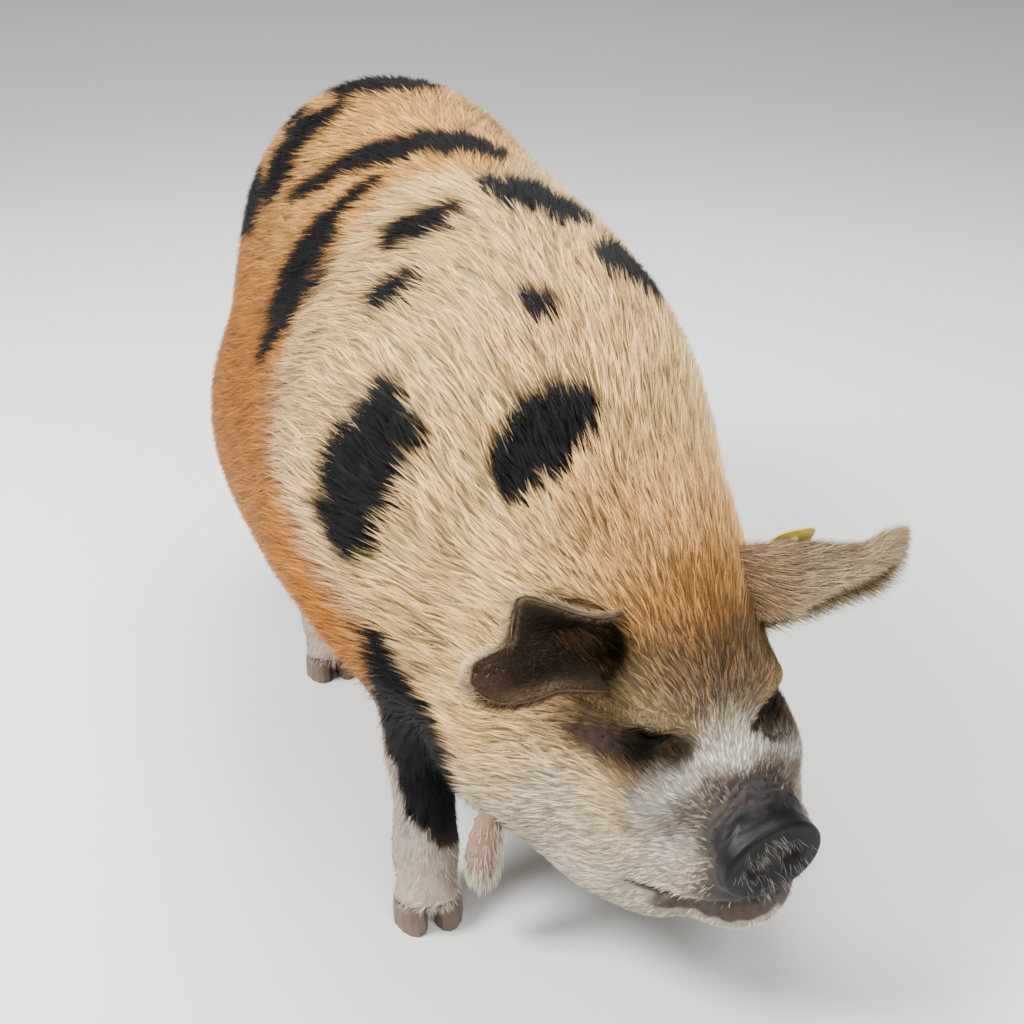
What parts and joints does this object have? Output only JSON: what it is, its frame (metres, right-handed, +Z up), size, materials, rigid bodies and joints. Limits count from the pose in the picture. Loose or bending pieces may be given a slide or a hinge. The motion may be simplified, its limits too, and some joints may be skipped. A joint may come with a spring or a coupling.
{
  "type": "domestic pig",
  "caption": "Life-size still model of a low, heavy, hairy domestic pig that stands with its head lowered to graze, with an ear tag and wattles.",
  "frame": {"origin": "on the floor, at the middle of the pig's footprint box", "axes": "-Y is the way the pig faces, +X is its left side, +Z is up"},
  "size_m": [0.5646, 1.2334, 0.6825],
  "materials": {
    "coat": "straight, bristly hair, cream and ginger with black patches",
    "hoof_horn": "dull dark horn",
    "eye": "wet, dark brown",
    "wattle_skin": "pink skin with long pale hair",
    "tag_plastic": "plain pale yellow plastic"
  },
  "bodies": {
    "root": {"torso": "coat", "neck": "coat", "head": "coat", "front_right_leg": "coat", "front_left_leg": "coat", "hind_right_leg": "coat", "hind_left_leg": "coat", "right_ear": "coat", "left_ear": "coat", "tail": "coat", "front_right_inner_hoof": "hoof_horn", "front_right_inner_dewclaw": "hoof_horn", "front_right_outer_hoof": "hoof_horn", "front_right_outer_dewclaw": "hoof_horn", "front_left_inner_hoof": "hoof_horn", "front_left_inner_dewclaw": "hoof_horn", "front_left_outer_hoof": "hoof_horn", "front_left_outer_dewclaw": "hoof_horn", "hind_right_inner_hoof": "hoof_horn", "hind_right_inner_dewclaw": "hoof_horn", "hind_right_outer_hoof": "hoof_horn", "hind_right_outer_dewclaw": "hoof_horn", "hind_left_inner_hoof": "hoof_horn", "hind_left_inner_dewclaw": "hoof_horn", "hind_left_outer_hoof": "hoof_horn", "hind_left_outer_dewclaw": "hoof_horn", "right_eye": "eye", "left_eye": "eye", "right_wattle": "wattle_skin", "left_wattle": "wattle_skin", "ear_tag": "tag_plastic"}
  },
  "joints": []
}
